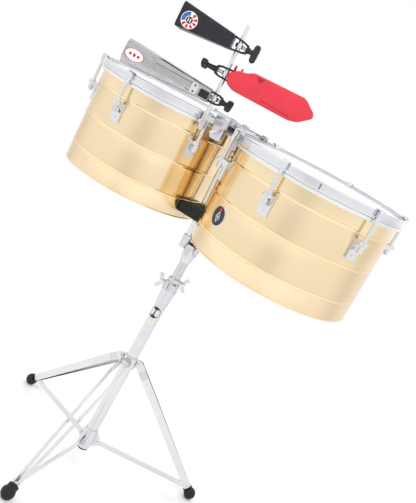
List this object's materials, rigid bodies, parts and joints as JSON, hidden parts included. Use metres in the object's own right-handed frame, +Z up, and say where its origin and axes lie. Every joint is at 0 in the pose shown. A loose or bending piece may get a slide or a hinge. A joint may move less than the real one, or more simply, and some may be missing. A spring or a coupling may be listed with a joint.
{
  "type": "timbales on a stand",
  "caption": "Pair of brass-shelled drums with tuning hooks on a folding, tilting tripod stand, with cowbells and a wood-block substitute on a post.",
  "frame": {"origin": "on the floor at the middle of the whole object's footprint", "axes": "+Z up the stand, +X from the small drum to the large drum, -Y towards the player, whom the heads lean to"},
  "size_m": [0.8098, 0.541, 1.0779],
  "materials": {
    "brass": "polished and lacquered",
    "chrome": "bright chrome plate",
    "cast_chrome": "satin chrome on a casting",
    "head_film": "coated plastic film",
    "aluminium": "bright drawn",
    "black_rubber": "moulded",
    "black_paint": "satin enamel",
    "black_plastic": "moulded",
    "red_plastic": "moulded",
    "brushed_steel": "brushed along its length",
    "nylon": "natural",
    "label": "printed"
  },
  "bodies": {
    "root": {"lower_tube": "chrome", "tube_end_cap": "black_rubber", "lower_hub": "cast_chrome", "hub_pins": "chrome", "height_clamp": "cast_chrome", "clamp_bushing": "nylon", "tube_badge": "label"},
    "height_clamp_screw": {"height_clamp_screw": "chrome"},
    "leg_collar": {"leg_collar": "cast_chrome"},
    "leg_collar_screw": {"leg_collar_screw": "chrome"},
    "spreader_1": {"spreader_1": "chrome"},
    "leg_1": {"leg_1": "chrome", "foot_1": "black_rubber"},
    "spreader_2": {"spreader_2": "chrome"},
    "leg_2": {"leg_2": "chrome", "foot_2": "black_rubber"},
    "spreader_3": {"spreader_3": "chrome"},
    "leg_3": {"leg_3": "chrome", "foot_3": "black_rubber"},
    "memory_lock": {"memory_lock": "cast_chrome"},
    "memory_lock_screw": {"memory_lock_screw": "chrome"},
    "upper_tube": {"upper_tube": "chrome", "tilter_base": "cast_chrome"},
    "tilter_screw": {"tilter_screw": "chrome"},
    "head": {"tilter_head": "cast_chrome", "upright_rod": "chrome", "rod_screws": "chrome", "bumper_block": "black_rubber", "center_mount": "cast_chrome", "lug_screws": "chrome", "tuning_nuts": "chrome", "shell_badge": "label", "small_shell": "brass", "small_head": "head_film", "small_flesh_hoop": "aluminium", "small_rim": "chrome", "small_lugs": "chrome", "small_tuning_hooks": "chrome", "large_shell": "brass", "large_head": "head_film", "large_flesh_hoop": "aluminium", "large_rim": "chrome", "large_lugs": "chrome", "large_tuning_hooks": "chrome"},
    "mount_screw": {"mount_screw": "chrome"},
    "post_screw": {"post_screw": "chrome"},
    "cowbell_post": {"cowbell_post": "chrome"},
    "black_bell": {"black_bell": "black_paint", "black_bell_bracket": "black_paint", "black_bell_eye_bolt": "chrome"},
    "black_bell_handle": {"black_bell_handle": "black_plastic"},
    "jam_block": {"jam_block": "red_plastic", "jam_block_bracket": "black_paint", "jam_block_eye_bolt": "chrome"},
    "jam_block_handle": {"jam_block_handle": "black_plastic"},
    "steel_bell": {"steel_bell": "brushed_steel", "steel_bell_bracket": "black_paint", "steel_bell_eye_bolt": "chrome"},
    "steel_bell_handle": {"steel_bell_handle": "black_plastic"}
  },
  "joints": [
    {"name": "leg_collar_slide", "type": "slide", "parent": "root", "child": "leg_collar", "axis": [0, 0, 1], "range_m": [-0.13321, 0]},
    {"name": "leg_collar_screw_turn", "type": "hinge", "parent": "leg_collar", "child": "leg_collar_screw", "pos_m": [-0.00402, 0.07437, 0.279], "axis": [-0.1788, 0.9839, 0], "continuous": true},
    {"name": "height_clamp_screw_turn", "type": "hinge", "parent": "root", "child": "height_clamp_screw", "pos_m": [-0.02048, 0.04321, 0.4905], "axis": [-0.9063, -0.4226, 0], "continuous": true},
    {"name": "spreader_1_hinge", "type": "hinge", "parent": "root", "child": "spreader_1", "pos_m": [0.01974, 0.06954, 0.05], "axis": [-0.6468, 0.7627, 0], "range_deg": [0, 82.8]},
    {"name": "leg_1_hinge", "type": "hinge", "parent": "spreader_1", "child": "leg_1", "pos_m": [0.22612, 0.24456, 0.0299], "axis": [-0.6468, 0.7627, 0], "range_deg": [-37.33, 0]},
    {"name": "spreader_2_hinge", "type": "hinge", "parent": "root", "child": "spreader_2", "pos_m": [-0.02457, 0.06148, 0.05], "axis": [-0.3371, -0.9415, 0], "range_deg": [0, 82.8]},
    {"name": "leg_2_hinge", "type": "hinge", "parent": "spreader_2", "child": "leg_2", "pos_m": [-0.27934, 0.15271, 0.0299], "axis": [-0.3371, -0.9415, 0], "range_deg": [-37.33, 0]},
    {"name": "spreader_3_hinge", "type": "hinge", "parent": "root", "child": "spreader_3", "pos_m": [0.00456, 0.02714, 0.05], "axis": [0.9839, 0.1788, 0], "range_deg": [0, 82.8]},
    {"name": "leg_3_hinge", "type": "hinge", "parent": "spreader_3", "child": "leg_3", "pos_m": [0.05294, -0.23911, 0.0299], "axis": [0.9839, 0.1788, 0], "range_deg": [-37.33, 0]},
    {"name": "height_slide", "type": "slide", "parent": "root", "child": "memory_lock", "axis": [0, 0, 1], "range_m": [0, 0.16]},
    {"name": "memory_lock_screw_turn", "type": "hinge", "parent": "memory_lock", "child": "memory_lock_screw", "pos_m": [0.01668, 0.06054, 0.5064], "axis": [0.9063, 0.4226, 0], "continuous": true},
    {"name": "upper_tube_swivel", "type": "hinge", "parent": "memory_lock", "child": "upper_tube", "pos_m": [-0.00009, 0.05272, 0.5004], "axis": [0, 0, 1], "continuous": true},
    {"name": "tilter_screw_turn", "type": "hinge", "parent": "upper_tube", "child": "tilter_screw", "pos_m": [-0.00009, 0.07472, 0.592], "axis": [0, 1, 0], "continuous": true},
    {"name": "head_tilt", "type": "hinge", "parent": "upper_tube", "child": "head", "pos_m": [-0.00009, 0.05272, 0.592], "axis": [1, 0, 0], "range_deg": [-22, 32]},
    {"name": "mount_screw_turn", "type": "hinge", "parent": "head", "child": "mount_screw", "pos_m": [-0.01809, -0.08023, 0.85737], "axis": [0, -0.9943, -0.1063], "continuous": true},
    {"name": "post_screw_turn", "type": "hinge", "parent": "head", "child": "post_screw", "pos_m": [-0.05009, -0.10374, 0.8609], "axis": [0, -0.9943, -0.1063], "continuous": true},
    {"name": "post_turn", "type": "hinge", "parent": "head", "child": "cowbell_post", "pos_m": [-0.05009, -0.09578, 0.86175], "axis": [0, -0.1063, 0.9943], "continuous": true},
    {"name": "black_bell_turn", "type": "hinge", "parent": "cowbell_post", "child": "black_bell", "pos_m": [-0.05009, -0.11412, 1.03327], "axis": [0, -0.1063, 0.9943], "range_deg": [-75, 75]},
    {"name": "black_bell_handle_turn", "type": "hinge", "parent": "black_bell", "child": "black_bell_handle", "pos_m": [-0.05009, -0.11412, 1.03327], "axis": [0.9058, 0.4237, 0.0102], "continuous": true},
    {"name": "jam_block_turn", "type": "hinge", "parent": "cowbell_post", "child": "jam_block", "pos_m": [-0.05009, -0.10747, 0.97112], "axis": [0, -0.1063, 0.9943], "range_deg": [-75, 75]},
    {"name": "jam_block_handle_turn", "type": "hinge", "parent": "jam_block", "child": "jam_block_handle", "pos_m": [-0.05009, -0.10747, 0.97112], "axis": [-0.9063, -0.4202, -0.0449], "continuous": true},
    {"name": "steel_bell_turn", "type": "hinge", "parent": "cowbell_post", "child": "steel_bell", "pos_m": [-0.05009, -0.10152, 0.91544], "axis": [0, -0.1063, 0.9943], "range_deg": [-75, 75]},
    {"name": "steel_bell_handle_turn", "type": "hinge", "parent": "steel_bell", "child": "steel_bell_handle", "pos_m": [-0.05009, -0.10152, 0.91544], "axis": [0.9054, 0.4245, 0.0015], "continuous": true}
  ],
  "couplings": [
    {"joint": "spreader_1_hinge", "follows": "leg_collar_slide", "rad_per_m": -10.843},
    {"joint": "leg_1_hinge", "follows": "leg_collar_slide", "rad_per_m": 4.8845},
    {"joint": "spreader_2_hinge", "follows": "leg_collar_slide", "rad_per_m": -10.843},
    {"joint": "leg_2_hinge", "follows": "leg_collar_slide", "rad_per_m": 4.8845},
    {"joint": "spreader_3_hinge", "follows": "leg_collar_slide", "rad_per_m": -10.843},
    {"joint": "leg_3_hinge", "follows": "leg_collar_slide", "rad_per_m": 4.8845}
  ]
}
